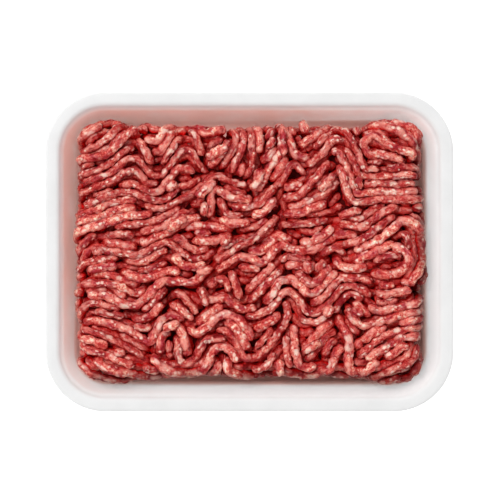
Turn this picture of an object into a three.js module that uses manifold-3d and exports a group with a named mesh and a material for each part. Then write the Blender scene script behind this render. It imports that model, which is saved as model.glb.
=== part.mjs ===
// A white foam meat tray packed with a brick of fine minced beef, in millimetres, +Z up.
// The origin is the centre of the tray's underside, and +X runs along its length.
// The tray is one moulded shell. The mince is one solid: a plain core with its strands fused on.
import * as THREE from "three";
import { mergeVertices } from "three/addons/utils/BufferGeometryUtils.js";
import Module from "manifold-3d";

const wasm = await Module();
wasm.setup();

// Tray sizes
const TRAY_LENGTH = 235;
const TRAY_WIDTH = 184;
const TRAY_HEIGHT = 32;
const TRAY_CORNER = 34.5;
const FOAM = 3.4;
const RIM_WIDTH = 7.6;
const RIM_THICKNESS = 3.6;
const RIM_OUTER_EDGE = 1.6;
const RIM_INNER_EDGE = 2.4;
const WALL_RUN = 10.9;
const FLOOR_EDGE = 7;
const FLOOR_INSET = 30;

// Mince sizes
const MINCE_LENGTH = 195;
const MINCE_WIDTH = 145;
const MINCE_TOP = 33.6;
const MINCE_FOOT = FOAM + 0.3;
const MINCE_EDGE = 8;
const SIDE_BULGE = 2.5;
const CORNER_BULGE = 2;
const FOOT_TUCK = 5;
const FOOT_RISE = 10;
const STRAND = 4.8;
const CORE_DEPTH = 2.1;

// How the strands lie: the pitch between neighbours, and how far they may squeeze together.
const PITCH = 5;
const SQUEEZED = 0.62;
const LEAST_START = 0.9;
const STEP = 1.5;
const SHARPEST_TURN = 62;
const SHORTEST = 10;
const LENGTHS = [60, 190];
const LOWEST = 18;
const UNEVEN = 1.2;
const END_DIP = 1.2;
const END_RUN = 4;

// How finely the solid follows them
const STRAND_SIDES = 6;
const CHORD_ERROR = 1.05;
const SLIVER = 0.15;
const CORNER_STEPS = 7;
const EDGE_STEPS = 3;

// How the strands lie, seen from above: centre x and y, reach along x and y, and heading in degrees. Where a fold
// turns over its crest or through its dip, the strands run nearly level.
const LIE = [
  [-83, 63, 6, 8, 42],
  [-76, 60, 5, 10, 48],
  [-67, 62, 2, 9, 5],
  [-61, 60, 3.5, 13, -64],
  [-54, 52, 2, 12, 0],
  [-47, 52, 4, 15, 60],
  [-37, 58, 2, 9, 0],
  [-30, 58, 4, 8, -62],
  [-20, 71, 7, 3, 18],
  [-19, 56, 5, 5, 40],
  [-11, 52, 3.5, 8, 72],
  [-5, 57, 3.5, 6, 54],
  [2, 53, 3, 8, 90],
  [-4, 67, 5, 5, 108],
  [7, 72, 3, 3, 55],
  [13, 60, 3, 5, 64],
  [24, 63, 3.5, 6, 110],
  [19, 51, 3, 5, 66],
  [24, 53, 2, 3, 0],
  [28, 49, 3, 5, -52],
  [33, 60, 4, 7, 24],
  [40, 60, 4, 9, 56],
  [50, 67, 3, 4, 0],
  [59, 60, 4, 9, -68],
  [66, 66, 4, 3, 35],
  [77, 65, 5, 4, -38],
  [86, 67, 7, 6, -28],
  [96, 64, 3, 8, -65],
  [-90, 52, 7, 7, 10],
  [-67, 49, 2.5, 4, 0],
  [-88, 38, 7, 5, 26],
  [-60, 29, 7, 4, -16],
  [-37, 44, 3, 4, -8],
  [-27, 36, 5, 4, 43],
  [-18, 29, 3.5, 5, -66],
  [-25, 25, 2.5, 4, 86],
  [-12, 37, 5, 4, -18],
  [4, 41, 3, 6, 63],
  [12, 25, 3, 5, 56],
  [15.5, 25, 2, 7, 80],
  [35, 32, 5, 5, 28],
  [34, 39, 3.5, 4, 52],
  [47, 37, 4, 6, 54],
  [50, 50, 4, 3, 5],
  [55, 42, 3.5, 8, -76],
  [-84, 22, 8, 7, 21],
  [-95, 2, 3, 5, 42],
  [-71, 5, 7, 4, -15],
  [-56, 2, 6, 6, 28],
  [-40, 2, 4, 5, -48],
  [-42, 15, 5, 4, 34],
  [-15, -2, 5, 5, 41],
  [8, 5, 4, 5, 43],
  [14, -2, 3, 5, 52],
  [1, -3, 4, 3, -24],
  [14, -11, 4, 4, 54],
  [23, 7, 4, 3, -30],
  [42, 4, 4, 5, 38],
  [41, -10, 4, 5, 47],
  [71, 15, 7, 6, 38],
  [82, 13, 4, 4, 48],
  [71, 2, 7, 5, 25],
  [85, 4, 4, 4, -28],
  [92, 14, 3, 3, -38],
  [94, 4, 3, 7, -88],
  [93, -11, 4, 3, 52],
  [-66, -17, 7, 4, -12],
  [-74, -22, 4, 5, -32],
  [-57, -24, 5, 7, 44],
  [-84, -40, 8, 6, -18],
  [-54, -33, 3.5, 5, 62],
  [-45, -37, 2.5, 3, 0],
  [-39, -35, 3.5, 6, -42],
  [-72, -52, 9, 5, -32],
  [-90, -66, 6, 5, -25],
  [-52, -56, 3.5, 7, 84],
  [-46, -48, 3, 3, 10],
  [-39, -55, 3.5, 8, -78],
  [-45, -60, 3, 6, 88],
  [-27, -62, 4, 6, 64],
  [-18, -64, 3, 5, 78],
  [-24, -38, 5, 5, 42],
  [-32, -27, 4, 4, -52],
  [-26, -17, 3.5, 4, 48],
  [-9, -20, 3, 5, -74],
  [-11, -38, 5, 4, -22],
  [-5, -52, 3.5, 7, -68],
  [-12, -57, 3.5, 5, -52],
  [-17, -52, 3, 3, 5],
  [1, -61, 3, 3, 5],
  [7, -60, 4, 5, 42],
  [12, -57, 4, 8, 58],
  [6, -22, 4, 5, 46],
  [14, -25, 3, 5, 60],
  [6, -37, 5, 4, 22],
  [18, -35, 2.5, 4, 74],
  [20, -17, 2.5, 3, 5],
  [29, -20, 4, 6, -48],
  [28, -31, 3.5, 5, -54],
  [25, -57, 3.5, 8, -84],
  [46, -23, 4, 6, 50],
  [40, -26, 5, 4, 34],
  [47, -33, 4, 6, 60],
  [68, -26, 4, 5, -42],
  [57, -42, 3.5, 5, -58],
  [37, -57, 4, 6, 50],
  [44, -60, 3.5, 7, 70],
  [48, -51, 3, 3, 15],
  [57, -59, 3, 7, 90],
  [70, -59, 4, 5, 44],
  [76, -55, 6, 5, 36],
  [86, -67, 6, 4, 20],
  [96, -62, 3, 5, 72],
  [84, -36, 7, 6, 16],
  [-58, -67, 6, 4, -22],
  [-56, -51, 2.5, 5, 55],
  [96, 27, 2, 7, 84],
  [31, -49, 4, 4, 8],
  [59, 15, 4, 3, -18],
  [-95, -34, 3, 4, 48],
  [49, -2, 3, 3, -42],
];
const WAVE_SHARE = 0.04;
const LIE_END = 94;
const LIE_SIDE = 67;

const degrees = Math.PI / 180;
const clamp = THREE.MathUtils.clamp;
const swell = (t) => Math.exp(-t * t);
const pointing = (angle) => new THREE.Vector2(Math.cos(angle), Math.sin(angle));

// A repeatable number from 0 to 1 for a pair of whole numbers.
function chance(a, b) {
  const s = Math.sin(a * 12.9898 + b * 78.233) * 43758.5453;
  return s - Math.floor(s);
}

function geometryOf(positions, index) {
  const geometry = new THREE.BufferGeometry();
  geometry.setAttribute("position", new THREE.Float32BufferAttribute(positions, 3));
  geometry.setIndex(index);
  return geometry;
}

// A section given by its corners [inset, height, radius], with each radius turned in a few steps.
function rounded(corners) {
  const points = [];
  corners.forEach(([inset, height, radius], i) => {
    const corner = new THREE.Vector2(inset, height);
    if (!radius) {
      points.push(corner);
      return;
    }
    const back = new THREE.Vector2(...corners[i - 1]).sub(corner).normalize();
    const onward = new THREE.Vector2(...corners[i + 1]).sub(corner).normalize();
    const half = Math.acos(clamp(back.dot(onward), -1, 1)) / 2;
    const middle = back.clone().add(onward).normalize();
    const centre = corner.clone().addScaledVector(middle, radius / Math.sin(half));
    const first = corner.clone().addScaledVector(back, radius / Math.tan(half));
    const turn = -Math.sign(back.cross(onward)) * (Math.PI - 2 * half);
    for (let k = 0; k <= EDGE_STEPS; k += 1) {
      points.push(first.clone().rotateAround(centre, (turn * k) / EDGE_STEPS));
    }
  });
  return points;
}

// A closed body whose plan is a rounded rectangle. Its section runs from the underside out and up to the top.
function tub(length, width, cornerRadius, corners) {
  const stations = [];
  for (let quarter = 0; quarter < 4; quarter += 1) {
    const middle = pointing((quarter + 0.5) * 90 * degrees);
    const x = Math.sign(middle.x) * (length / 2 - cornerRadius);
    const y = Math.sign(middle.y) * (width / 2 - cornerRadius);
    for (let k = 0; k <= CORNER_STEPS; k += 1) {
      stations.push({ x, y, out: pointing((quarter + k / CORNER_STEPS) * 90 * degrees) });
    }
  }
  const section = rounded(corners);
  const count = stations.length;
  const positions = [];
  section.forEach((p) => {
    stations.forEach(({ x, y, out }) => {
      positions.push(x + out.x * (cornerRadius - p.x), y + out.y * (cornerRadius - p.x), p.y);
    });
  });
  const index = [];
  for (let i = 0; i < section.length - 1; i += 1) {
    for (let j = 0; j < count; j += 1) {
      const a = i * count + j;
      const b = i * count + ((j + 1) % count);
      index.push(a, b, b + count, a, b + count, a + count);
    }
  }
  const plan = stations.map(({ x, y, out }) => new THREE.Vector2(x + out.x, y + out.y));
  const top = (section.length - 1) * count;
  THREE.ShapeUtils.triangulateShape(plan, []).forEach(([a, b, c]) => {
    index.push(c, b, a, top + a, top + b, top + c);
  });
  return geometryOf(positions, index);
}

// The tray: a flat floor, sloping walls of even thickness, and a flat rim with rounded edges.
function trayGeometry() {
  const drop = TRAY_HEIGHT - FOAM;
  const across = (FOAM * Math.hypot(WALL_RUN, drop)) / drop;
  const outerInset = (z) => RIM_WIDTH - across + ((TRAY_HEIGHT - z) * WALL_RUN) / drop;
  const rimUnder = TRAY_HEIGHT - RIM_THICKNESS;
  return tub(TRAY_LENGTH, TRAY_WIDTH, TRAY_CORNER, [
    [FLOOR_INSET, 0],
    [outerInset(0), 0, FLOOR_EDGE - 1],
    [outerInset(rimUnder), rimUnder, RIM_OUTER_EDGE],
    [0, rimUnder, RIM_OUTER_EDGE],
    [0, TRAY_HEIGHT, RIM_OUTER_EDGE],
    [RIM_WIDTH, TRAY_HEIGHT, RIM_INNER_EDGE],
    [RIM_WIDTH + WALL_RUN, FOAM, FLOOR_EDGE],
    [FLOOR_INSET, FOAM],
  ]);
}

// The mince's plain core, which lies just under the strands and draws in towards its foot.
function coreGeometry() {
  const top = MINCE_TOP - CORE_DEPTH;
  return tub(MINCE_LENGTH - 2 * CORE_DEPTH, MINCE_WIDTH - 2 * CORE_DEPTH, MINCE_EDGE, [
    [FOOT_TUCK, MINCE_FOOT],
    [0, MINCE_FOOT + FOOT_RISE, FOOT_RISE],
    [0, top, MINCE_EDGE - CORE_DEPTH],
    [MINCE_EDGE - 1, top],
  ]);
}

// Lays a point of the flat strand pattern on the brick: straight across the top, then round its edge and down.
// A lift of nought puts the strand's back level with the brick's outside.
function drape(u, v, lift) {
  const farX = MINCE_LENGTH / 2 + SIDE_BULGE * swell(v / 45) - MINCE_EDGE;
  const farY = MINCE_WIDTH / 2 + CORNER_BULGE * swell((Math.abs(u) - 80) / 14) - MINCE_EDGE;
  const x = clamp(u, -farX, farX);
  const y = clamp(v, -farY, farY);
  const beyond = Math.hypot(u - x, v - y);
  const bend = MINCE_EDGE - STRAND / 2;
  const shoulder = MINCE_TOP - MINCE_EDGE;
  if (beyond === 0) {
    return { point: new THREE.Vector3(x, y, shoulder + bend + lift), out: new THREE.Vector3(0, 0, 1) };
  }
  const angle = Math.min(beyond / bend, Math.PI / 2);
  const z = shoulder + (bend + lift) * Math.cos(angle) - (beyond - angle * bend);
  const tuck = FOOT_TUCK * clamp((MINCE_FOOT + FOOT_RISE + STRAND - z) / FOOT_RISE, 0, 1) ** 2;
  const reach = (bend + lift) * Math.sin(angle) - tuck;
  const away = new THREE.Vector3((u - x) / beyond, (v - y) / beyond, 0);
  return {
    point: new THREE.Vector3(x, y, z).addScaledVector(away, reach),
    out: away.multiplyScalar(Math.sin(angle)).setZ(Math.cos(angle)),
  };
}

// The heading of the strands at a point of the flat pattern, from 0 to 180 degrees.
function grain(u, v) {
  const x = clamp(u, -LIE_END, LIE_END);
  const y = clamp(v, -LIE_SIDE, LIE_SIDE);
  const wave = 5 * Math.sin(x / 9 + 2 * Math.sin(y / 13)) + 3 * Math.sin(y / 5 - x / 21);
  // The double angle counts a strand's two directions as one, so headings can be mixed.
  const doubled = pointing(2 * wave * degrees).multiplyScalar(WAVE_SHARE);
  LIE.forEach(([rowX, rowY, reachX, reachY, heading]) => {
    const dx = (x - rowX) / reachX;
    const dy = (y - rowY) / reachY;
    doubled.addScaledVector(pointing(2 * heading * degrees), Math.exp(-0.75 * (dx * dx + dy * dy)));
  });
  return doubled.angle() / 2;
}

// Follows the grain from a point, forwards or backwards, for a length or until there is no more room.
function followed(start, backwards, length, hasRoom) {
  const path = [];
  const here = start.clone();
  let heading = grain(start.x, start.y) + (backwards ? Math.PI : 0);
  for (let run = STEP; run <= length; run += STEP) {
    let next = grain(here.x, here.y);
    next += Math.PI * Math.round((heading - next) / Math.PI);
    if (Math.abs(next - heading) > SHARPEST_TURN * degrees) break;
    heading = next;
    here.addScaledVector(pointing(heading), STEP);
    if (!hasRoom(here, path)) break;
    path.push(here.clone());
  }
  return path;
}

// Covers the brick with strands that follow the grain, each started beside one already laid.
function laidStrands() {
  const strands = [];
  const laid = [];
  const seatOf = (p) => drape(p.x, p.y, 0).point;
  const isClear = (p, gap) => {
    const seat = seatOf(p);
    return seat.z > LOWEST && laid.every((other) => other.distanceTo(seat) > gap);
  };
  const lay = (start) => {
    if (!isClear(start, LEAST_START * PITCH)) return;
    const n = strands.length;
    const length = THREE.MathUtils.lerp(...LENGTHS, chance(n, 1));
    const share = chance(n, 2);
    const gap = SQUEEZED * PITCH;
    const isOff = (p, path) => path.every((own) => own.distanceTo(p) > gap);
    const ahead = followed(start, false, length * share, (p, path) => isClear(p, gap) && isOff(p, path.slice(0, -6)));
    const behind = followed(start, true, length * (1 - share), (p, path) => {
      return isClear(p, gap) && isOff(p, path.slice(0, -6)) && isOff(p, ahead.slice(5));
    });
    const strand = [...behind.reverse(), start, ...ahead];
    if ((strand.length - 1) * STEP < SHORTEST) return;
    strands.push(strand);
    laid.push(...strand.map(seatOf));
  };
  lay(new THREE.Vector2(-20, 0));
  for (let n = 0; n < strands.length; n += 1) {
    strands[n].forEach((p) => {
      const aside = pointing(grain(p.x, p.y) + Math.PI / 2).multiplyScalar(PITCH);
      lay(p.clone().add(aside));
      lay(p.clone().sub(aside));
    });
  }
  return strands;
}

// A strand's spots on the brick. Each strand lies a little higher or lower than the next, and its ends dip.
function draped(strand, n) {
  const lift = UNEVEN * (chance(n, 3) - 0.5);
  const last = strand.length - 1;
  return strand.map((p, i) => {
    const fromEnd = Math.min(i, last - i) * STEP;
    return drape(p.x, p.y, lift - END_DIP * swell(fromEnd / END_RUN));
  });
}

// Leaves out the spots that a straight line between their neighbours passes close to.
function simplified(spots) {
  const last = spots.length - 1;
  const line = new THREE.Line3(spots[0].point, spots[last].point);
  const nearest = new THREE.Vector3();
  const strays = spots.map(({ point }) => line.closestPointToPoint(point, true, nearest).distanceTo(point));
  const worst = Math.max(...strays);
  if (worst < CHORD_ERROR) return [spots[0], spots[last]];
  const at = strays.indexOf(worst);
  return [...simplified(spots.slice(0, at + 1)).slice(0, -1), ...simplified(spots.slice(at))];
}

// A strand along its spots: a few-sided round section with a face on its back, and narrower ends.
function strandGeometry(strand) {
  const spots = simplified(strand);
  const last = spots.length - 1;
  const positions = [];
  spots.forEach(({ point, out }, i) => {
    const before = spots[Math.max(i - 1, 0)].point;
    const after = spots[Math.min(i + 1, last)].point;
    const along = after.clone().sub(before).normalize();
    const aside = out.clone().cross(along).normalize();
    const up = along.clone().cross(aside);
    const radius = (STRAND / 2) * (i === 0 || i === last ? 0.75 : 1.04);
    for (let k = 0; k < STRAND_SIDES; k += 1) {
      const round = pointing((k / STRAND_SIDES) * 2 * Math.PI).multiplyScalar(radius);
      const p = point.clone().addScaledVector(aside, round.x).addScaledVector(up, round.y);
      positions.push(p.x, p.y, p.z);
    }
  });
  const index = [];
  for (let i = 0; i < last; i += 1) {
    for (let k = 0; k < STRAND_SIDES; k += 1) {
      const a = i * STRAND_SIDES + k;
      const b = i * STRAND_SIDES + ((k + 1) % STRAND_SIDES);
      index.push(a, b, b + STRAND_SIDES, a, b + STRAND_SIDES, a + STRAND_SIDES);
    }
  }
  const end = last * STRAND_SIDES;
  for (let k = 1; k < STRAND_SIDES - 1; k += 1) {
    index.push(0, k + 1, k, end, end + k, end + k + 1);
  }
  return geometryOf(positions, index);
}

function solidOf(geometry) {
  const merged = mergeVertices(geometry, 1e-4);
  return new wasm.Manifold(
    new wasm.Mesh({
      numProp: 3,
      vertProperties: merged.attributes.position.array,
      triVerts: new Uint32Array(merged.index.array),
    }),
  );
}

// The core with every strand joined to it. The hollows that the joins seal are filled by keeping the outer shell.
function minceGeometry() {
  const strands = laidStrands().map(draped);
  const joined = strands.reduce((sum, strand) => sum.add(solidOf(strandGeometry(strand))), solidOf(coreGeometry()));
  const shells = joined.simplify(SLIVER).decompose();
  const outer = shells.reduce((most, shell) => (shell.volume() > most.volume() ? shell : most));
  const mesh = outer.getMesh();
  return geometryOf(Array.from(mesh.vertProperties), Array.from(mesh.triVerts));
}

function named(name, geometry, color, roughness) {
  const mesh = new THREE.Mesh(geometry, new THREE.MeshStandardMaterial({ color, roughness, metalness: 0 }));
  mesh.name = name;
  return mesh;
}

const pack = new THREE.Group();
pack.add(named("tray", trayGeometry(), 0xf2f2f0, 0.6));
pack.add(named("mince", minceGeometry(), 0xb9473f, 0.45));

export default pack;
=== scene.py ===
"""A white foam tray of raw minced beef, dressed over its CAD frame and seen from straight above."""

import math

import bmesh
import bpy
import numpy as np
from mathutils import Matrix, Vector
from mathutils.kdtree import KDTree


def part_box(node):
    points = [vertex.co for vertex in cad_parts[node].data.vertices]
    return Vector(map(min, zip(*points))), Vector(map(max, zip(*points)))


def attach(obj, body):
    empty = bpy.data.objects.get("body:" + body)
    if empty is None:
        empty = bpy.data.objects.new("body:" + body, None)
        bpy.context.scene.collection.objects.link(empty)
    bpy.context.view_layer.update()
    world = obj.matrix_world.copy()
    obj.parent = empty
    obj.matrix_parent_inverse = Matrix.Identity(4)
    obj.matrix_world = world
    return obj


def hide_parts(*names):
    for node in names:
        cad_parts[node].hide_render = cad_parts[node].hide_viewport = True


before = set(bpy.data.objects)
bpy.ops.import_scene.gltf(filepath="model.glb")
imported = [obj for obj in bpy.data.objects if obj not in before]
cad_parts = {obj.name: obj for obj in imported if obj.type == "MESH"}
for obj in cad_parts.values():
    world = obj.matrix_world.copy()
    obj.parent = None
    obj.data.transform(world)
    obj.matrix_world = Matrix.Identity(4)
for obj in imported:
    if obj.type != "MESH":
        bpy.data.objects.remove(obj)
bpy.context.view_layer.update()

# The foam tray
# One sheet of white polystyrene foam, pressed while warm into a shallow dish with sloping walls
# and a flat rim. It is 3.4 mm thick, so the press leaves every edge soft.
MM = 0.001
tray_low, tray_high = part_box("tray")
TRAY_LENGTH, TRAY_WIDTH, TRAY_HEIGHT = (
    (high - low) / MM for low, high in zip(tray_low, tray_high)
)
TRAY_CORNER = 34.5
FOAM = 3.4
RIM_WIDTH = 7.6
RIM_THICKNESS = 3.6
RIM_OUTER_EDGE = 1.7
RIM_INNER_EDGE = 3.0
WALL_RUN = 10.9
FLOOR_EDGE = 7
# How finely edges, corners, sides and walls are divided, and how far in the floor is closed.
EDGE_STEPS = 8
CORNER_STEPS = 24
SIDE_STEPS = 24
WALL_STEPS = 18
FLOOR_INSET = 30


def turned(corners):
    """A section's corners (inset, height, radius) as points, with each radius in small steps."""
    points = []
    for i, (inset, height, radius) in enumerate(corners):
        corner = Vector((inset, height))
        if not radius:
            points.append(corner)
            continue
        back = (Vector(corners[i - 1][:2]) - corner).normalized()
        onward = (Vector(corners[i + 1][:2]) - corner).normalized()
        half = back.angle(onward) / 2
        centre = corner + (back + onward).normalized() * radius / math.sin(half)
        first = corner + back * radius / math.tan(half) - centre
        side = -1 if back.x * onward.y - back.y * onward.x > 0 else 1
        turn = side * (math.pi - 2 * half)
        for k in range(EDGE_STEPS + 1):
            angle = turn * k / EDGE_STEPS
            cos, sin = math.cos(angle), math.sin(angle)
            points.append(
                centre
                + Vector((first.x * cos - first.y * sin, first.x * sin + first.y * cos))
            )
    return points


def ring_stations(length, width, radius):
    """Points round a rounded rectangle, each as its corner's centre and the way out from it."""
    stations = []
    for quarter in range(4):
        middle = math.radians(45 + 90 * quarter)
        x = math.copysign(length / 2 - radius, math.cos(middle))
        y = math.copysign(width / 2 - radius, math.sin(middle))
        for k in range(CORNER_STEPS + 1):
            angle = math.radians(90) * (quarter + k / CORNER_STEPS)
            stations.append((x, y, math.cos(angle), math.sin(angle)))
        # The straight side to the next corner.
        x2, y2 = (-x, y) if quarter % 2 == 0 else (x, -y)
        for k in range(1, SIDE_STEPS):
            t = k / SIDE_STEPS
            stations.append(
                (x + (x2 - x) * t, y + (y2 - y) * t, math.cos(angle), math.sin(angle))
            )
    return stations


def dish_mesh(name, section, length, width, radius):
    """A closed dish or slab: a section goes round a rounded rectangle, and its ends are filled."""
    mesh = bmesh.new()
    stations = ring_stations(length, width, radius)
    rings = []
    for p in section:
        inset = radius - p.x
        rings.append(
            [
                mesh.verts.new(Vector((x + out_x * inset, y + out_y * inset, p.y)) * MM)
                for x, y, out_x, out_y in stations
            ]
        )
    for low, high in zip(rings, rings[1:]):
        for j in range(len(low)):
            k = (j + 1) % len(low)
            mesh.faces.new((low[j], low[k], high[k], high[j]))
    mesh.faces.new(list(reversed(rings[0])))
    mesh.faces.new(rings[-1])
    for face in mesh.faces:
        face.smooth = True
    data = bpy.data.meshes.new(name)
    mesh.to_mesh(data)
    mesh.free()
    obj = bpy.data.objects.new(name, data)
    bpy.context.scene.collection.objects.link(obj)
    return obj


drop = TRAY_HEIGHT - FOAM
across = FOAM * math.hypot(WALL_RUN, drop) / drop
rim_under = TRAY_HEIGHT - RIM_THICKNESS


def outer_inset(z):
    """How far in from the rim's edge the wall's outer face stands at a height."""
    return RIM_WIDTH - across + (TRAY_HEIGHT - z) * WALL_RUN / drop


# The middle of the wall is stepped, so that the painted shade can fade along it.
wall_shares = [t / WALL_STEPS for t in range(2, WALL_STEPS - 3)]
tray_section = turned(
    [
        (FLOOR_INSET, 0, 0),
        (outer_inset(0), 0, FLOOR_EDGE - 1),
        (outer_inset(rim_under), rim_under, RIM_OUTER_EDGE),
        (0, rim_under, RIM_OUTER_EDGE),
        (0, TRAY_HEIGHT, RIM_OUTER_EDGE),
        (RIM_WIDTH, TRAY_HEIGHT, RIM_INNER_EDGE),
        *[(RIM_WIDTH + WALL_RUN * t, TRAY_HEIGHT - drop * t, 0) for t in wall_shares],
        (RIM_WIDTH + WALL_RUN, FOAM, FLOOR_EDGE),
        (FLOOR_INSET, FOAM, 0),
    ]
)
tray = dish_mesh("foam_tray", tray_section, TRAY_LENGTH, TRAY_WIDTH, TRAY_CORNER)

# Painted red bounce and shade darken the wall of the far and left sides, and a painted red shadow
# darkens the foam beside the meat. Each starts at a height and is full a little lower.
WALL_SHADE_TOP, WALL_SHADE_FADE = 31.5, 7.5
FOOT_SHADOW_TOP, FOOT_SHADOW_FADE = 17, 9
FOOT_SHADOW, FOOT_SHADOW_LESS = 1.9, 0.5
# How sharply the sides with painted shade give way to the others.
SIDE_CONTRAST = 1.3
# Light comes through the foam from a little below the rim. It grows more slowly on sides with
# painted shade, and reaches further down them.
RIM_FADE, RIM_FADE_SHADED = 3, 4
FLOOR_FADE_START, FLOOR_FADE, FLOOR_SHADED = 3, 9, 0.6
UNDER_RIM = TRAY_HEIGHT - 3.5


def clamped(value):
    return max(0.0, min(1.0, value))


def painted_shade_side(p):
    """1 on the far and left walls, which take the painted red bounce and shade, and 0 on the other
    two.
    """
    return clamped(0.5 + SIDE_CONTRAST * (p.y / TRAY_WIDTH - p.x / TRAY_LENGTH))


def painted_shade_on(p):
    """How much painted red bounce and shade, or painted shadow beside the meat, a point of the
    foam's inner side takes.
    """
    on_wall = painted_shade_side(p) * clamped((WALL_SHADE_TOP - p.z) / WALL_SHADE_FADE)
    foot = clamped((FOOT_SHADOW_TOP - p.z) / FOOT_SHADOW_FADE)
    return max(on_wall, (FOOT_SHADOW - FOOT_SHADOW_LESS * painted_shade_side(p)) * foot)


def glow_at(p):
    """How much light comes through the foam to a point of its inner side: none at rim or floor."""
    side = painted_shade_side(p)
    below_rim = clamped((TRAY_HEIGHT - p.z) / (RIM_FADE + RIM_FADE_SHADED * side))
    above_floor = clamped(FLOOR_SHADED * side + (p.z - FLOOR_FADE_START) / FLOOR_FADE)
    return below_rim * above_floor


def mark(data, name, values):
    """Stores a number for each point of a mesh, for its material to read."""
    data.attributes.new(name, "FLOAT", "POINT").data.foreach_set("value", values)


# The section's points before the rim's inner edge: the floor's end and four turned edges.
OUTER_POINTS = 1 + 4 * (EDGE_STEPS + 1)
stations = ring_stations(TRAY_LENGTH, TRAY_WIDTH, TRAY_CORNER)
first_inner = OUTER_POINTS * len(stations)
places = [vertex.co / MM for vertex in tray.data.vertices]
outer, inner = places[:first_inner], places[first_inner:]
# The inner side takes painted red bounce, shade and shadow, and painted light where light comes
# through the foam; the outer walls take painted shade.
mark(tray.data, "painted_shade", [0.0] * len(outer) + [painted_shade_on(p) for p in inner])
mark(tray.data, "inside", [0.0] * len(outer) + [glow_at(p) for p in inner])
mark(tray.data, "outside", [float(p.z <= UNDER_RIM) for p in outer] + [0.0] * len(inner))


def feed(tree, node, inputs):
    """Gives a node's inputs, each as a value or as the socket that it comes from."""
    for key, value in inputs.items():
        if isinstance(value, bpy.types.NodeSocket):
            tree.links.new(value, node.inputs[key])
        else:
            node.inputs[key].default_value = value


def put(tree, kind, inputs=None, **settings):
    """A new node with these inputs and settings."""
    node = tree.nodes.new(kind)
    for key, value in settings.items():
        setattr(node, key, value)
    feed(tree, node, inputs or {})
    return node


def new_material(name):
    material = bpy.data.materials.new(name)
    material.use_nodes = True
    return material, material.node_tree, material.node_tree.nodes["Principled BSDF"]


def noise(tree, vector, scale, detail, roughness=0.5, output="Fac"):
    sizes = {"Vector": vector, "Scale": scale, "Detail": detail, "Roughness": roughness}
    return put(tree, "ShaderNodeTexNoise", sizes).outputs[output]


def grey(value):
    return (value, value, value)


def ramp(tree, factor, stops, mode="EASE"):
    """A colour that passes through these (position, colour) stops as the factor rises."""
    node = put(tree, "ShaderNodeValToRGB", {"Fac": factor})
    node.color_ramp.interpolation = mode
    elements = node.color_ramp.elements
    while len(elements) < len(stops):
        elements.new(0.5)
    for element, (position, colour) in zip(elements, stops):
        element.position = position
        element.color = (*colour, 1)
    return node.outputs["Color"]


def mixed(tree, factor, first, second, blend="MIX"):
    inputs = {"Factor": factor, "A": first, "B": second}
    node = put(tree, "ShaderNodeMix", inputs, data_type="RGBA", blend_type=blend)
    return node.outputs["Result"]


def bump(tree, height, strength, distance, under=None):
    """Relief from a height, on top of the relief under it where there is one."""
    inputs = {"Height": height, "Strength": strength, "Distance": distance}
    if under:
        inputs["Normal"] = under
    return put(tree, "ShaderNodeBump", inputs).outputs["Normal"]


def attribute(tree, name, output="Fac"):
    return put(tree, "ShaderNodeAttribute", attribute_name=name).outputs[output]


# The foam's colour is painted lighter on its inner side, as painted light where light comes through
# it, and duller on the outside of the walls, as painted shade.
FOAM_PAINTED_LIGHT = (0.99, 0.99, 0.98, 1)
FOAM_PAINTED_SHADE = (0.88, 0.88, 0.87, 1)
# Painted red bounce and shade on the far and left walls, and painted red shadow beside the meat.
PAINTED_SHADE_RED = (0.98, 0.46, 0.40, 1)
# Where the red shade is painted, the foam lets less light through, and where no light comes through
# a little still spreads.
SHADE_BLOCKS = 0.48
LEAST_SPREAD = 0.1
foam, tree, shader = new_material("white_foam")
place = put(tree, "ShaderNodeTexCoord").outputs["Object"]
cells = put(tree, "ShaderNodeTexVoronoi", {"Vector": place, "Scale": 1100})
cloud = noise(tree, place, 55, 4)
inside = attribute(tree, "inside")
painted_shade = attribute(tree, "painted_shade")
colour = ramp(tree, cloud, [(0.3, grey(0.78)), (0.7, grey(0.82))])
colour = mixed(tree, inside, colour, FOAM_PAINTED_LIGHT)
colour = mixed(tree, attribute(tree, "outside"), colour, FOAM_PAINTED_SHADE, "MULTIPLY")
patches = {"From Min": 0.3, "From Max": 0.7, "To Min": 0.88, "To Max": 1.08}
patchy = put(tree, "ShaderNodeMapRange", {"Value": noise(tree, place, 70, 3), **patches})
# The painted red bounce, shade and shadow, made patchy.
shade_factors = {0: painted_shade, 1: patchy.outputs["Result"]}
painted_shading = put(tree, "ShaderNodeMath", shade_factors, operation="MULTIPLY", use_clamp=True)
colour = mixed(tree, painted_shading.outputs["Value"], colour, PAINTED_SHADE_RED, "MULTIPLY")
clear = put(
    tree, "ShaderNodeMath", {0: painted_shade, 1: -SHADE_BLOCKS, 2: 1}, operation="MULTIPLY_ADD"
)
spread = put(
    tree,
    "ShaderNodeMath",
    {0: clear.outputs["Value"], 1: inside, 2: LEAST_SPREAD},
    operation="MULTIPLY_ADD",
    use_clamp=True,
)
waves = bump(tree, cloud, 0.25, 0.001)
feed(
    tree,
    shader,
    {
        "Base Color": colour,
        "Roughness": 0.55,
        "Specular IOR Level": 0.35,
        "Subsurface Weight": spread.outputs["Value"],
        "Subsurface Radius": grey(1.0),
        "Subsurface Scale": 0.025,
        "Normal": bump(tree, cells.outputs["Distance"], 0.12, 0.0002, waves),
    },
)
tray.data.materials.append(foam)
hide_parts("tray")
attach(tray, "root")

# The lie of the mince
# The mincer lays its strands along the tray, and they buckle into folds as they pile up against
# each other. The rule below gives their heading at each point, and lays one strand beside the
# next over the whole brick.
MINCE_LENGTH = 194
MINCE_WIDTH = 142
MINCE_MIDDLE = (0.3, 0.1)
MINCE_TOP = 33.6
MINCE_FOOT = FOAM + 0.3
MINCE_EDGE = 8
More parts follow.
